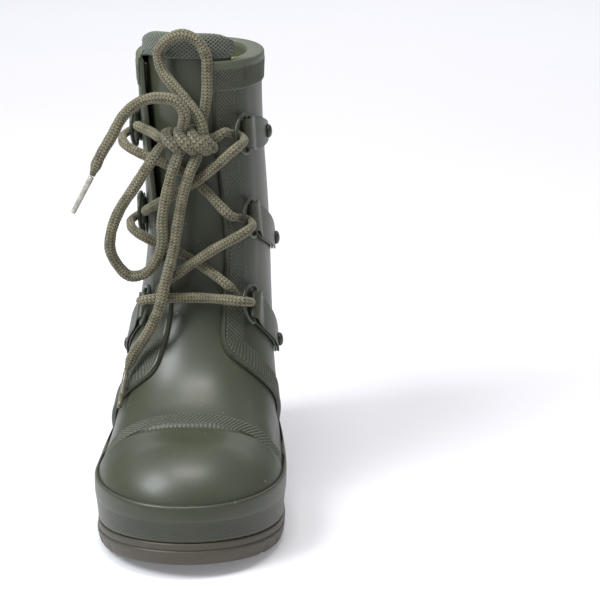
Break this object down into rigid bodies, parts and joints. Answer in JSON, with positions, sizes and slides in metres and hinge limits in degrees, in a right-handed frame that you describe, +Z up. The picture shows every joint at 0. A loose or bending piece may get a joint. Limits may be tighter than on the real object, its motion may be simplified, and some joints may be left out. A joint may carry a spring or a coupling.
{
  "type": "rubber rain boot",
  "caption": "Lace-up rubber rain boot on a thick cleated wedge platform, with hinged D-rings on riveted straps, textured trim, lined shaft and a lace tied in a bow; right foot.",
  "frame": {"origin": "on the flat underside of the outsole, under the middle of the boot's length, on its long axis", "axes": "+Z up the shaft, -Y towards the toe, +Y towards the heel, +X to the medial (inner) side of this right boot"},
  "size_m": [0.1247, 0.2478, 0.2796],
  "materials": {
    "olive_rubber": "satin",
    "outsole_rubber": "matt",
    "textured_rubber": "matt, fine diamond texture",
    "olive_knit": "ribbed knit",
    "lime_lining": "brushed knit",
    "painted_metal": "satin",
    "lace_yarn": "round braid with dark flecks",
    "foam": "closed-cell foam",
    "board": "pressed fibre board",
    "steel": "plain",
    "aglet_plastic": "clear film"
  },
  "bodies": {
    "boot": {"foxing_band": "olive_rubber", "vamp": "olive_rubber", "toe_cap": "olive_rubber", "quarter_medial": "olive_rubber", "quarter_lateral": "olive_rubber", "backstay": "olive_rubber", "strap_medial_1": "olive_rubber", "strap_medial_2": "olive_rubber", "strap_medial_3": "olive_rubber", "strap_lateral_1": "olive_rubber", "strap_lateral_2": "olive_rubber", "strap_lateral_3": "olive_rubber", "outsole": "outsole_rubber", "toe_trim": "textured_rubber", "eyestay_medial": "textured_rubber", "eyestay_lateral": "textured_rubber", "collar_binding": "textured_rubber", "tongue_binding": "olive_knit", "lining": "lime_lining", "rivet_medial_1": "painted_metal", "rivet_medial_2": "painted_metal", "rivet_medial_3": "painted_metal", "rivet_lateral_1": "painted_metal", "rivet_lateral_2": "painted_metal", "rivet_lateral_3": "painted_metal", "lace_crossing": "lace_yarn", "lace_knot": "lace_yarn", "lace_loop_up": "lace_yarn", "lace_loop_side": "lace_yarn", "lace_end_side": "lace_yarn", "lace_end_front": "lace_yarn", "wedge_core": "foam", "footbed": "foam", "ankle_foam_medial": "foam", "ankle_foam_lateral": "foam", "insole_board": "board", "toe_puff": "board", "heel_counter": "board", "shank": "steel", "aglet_side": "aglet_plastic", "aglet_front": "aglet_plastic"},
    "ring_medial_1": {"d_ring_medial_1": "painted_metal"},
    "ring_medial_2": {"d_ring_medial_2": "painted_metal"},
    "ring_medial_3": {"d_ring_medial_3": "painted_metal"},
    "ring_lateral_1": {"d_ring_lateral_1": "painted_metal"},
    "ring_lateral_2": {"d_ring_lateral_2": "painted_metal"},
    "ring_lateral_3": {"d_ring_lateral_3": "painted_metal"}
  },
  "joints": [
    {"name": "ring_medial_1_swing", "type": "hinge", "parent": "boot", "child": "ring_medial_1", "pos_m": [0.03349, -0.00007, 0.11752], "axis": [0.0426, 0.5291, 0.8475], "range_deg": [-3, 3], "deforming": ["lace_crossing"]},
    {"name": "ring_medial_2_swing", "type": "hinge", "parent": "boot", "child": "ring_medial_2", "pos_m": [0.03286, 0.0136, 0.16789], "axis": [-0.1017, 0.0841, 0.9913], "range_deg": [-3, 3], "deforming": ["lace_crossing"]},
    {"name": "ring_medial_3_swing", "type": "hinge", "parent": "boot", "child": "ring_medial_3", "pos_m": [0.02914, 0.01701, 0.21733], "axis": [-0.0748, 0.0559, 0.9956], "range_deg": [-3, 3], "deforming": ["lace_crossing"]},
    {"name": "ring_lateral_1_swing", "type": "hinge", "parent": "boot", "child": "ring_lateral_1", "pos_m": [-0.03327, 0.00468, 0.11538], "axis": [-0.0913, -0.6024, -0.793], "range_deg": [-3, 3], "deforming": ["lace_crossing"]},
    {"name": "ring_lateral_2_swing", "type": "hinge", "parent": "boot", "child": "ring_lateral_2", "pos_m": [-0.03495, 0.03559, 0.16675], "axis": [0.023, -0.0107, -0.9997], "range_deg": [-3, 3], "deforming": ["lace_crossing"]},
    {"name": "ring_lateral_3_swing", "type": "hinge", "parent": "boot", "child": "ring_lateral_3", "pos_m": [-0.03818, 0.04475, 0.21657], "axis": [0.0483, 0.0073, -0.9988], "range_deg": [-3, 3], "deforming": ["lace_crossing"]}
  ]
}
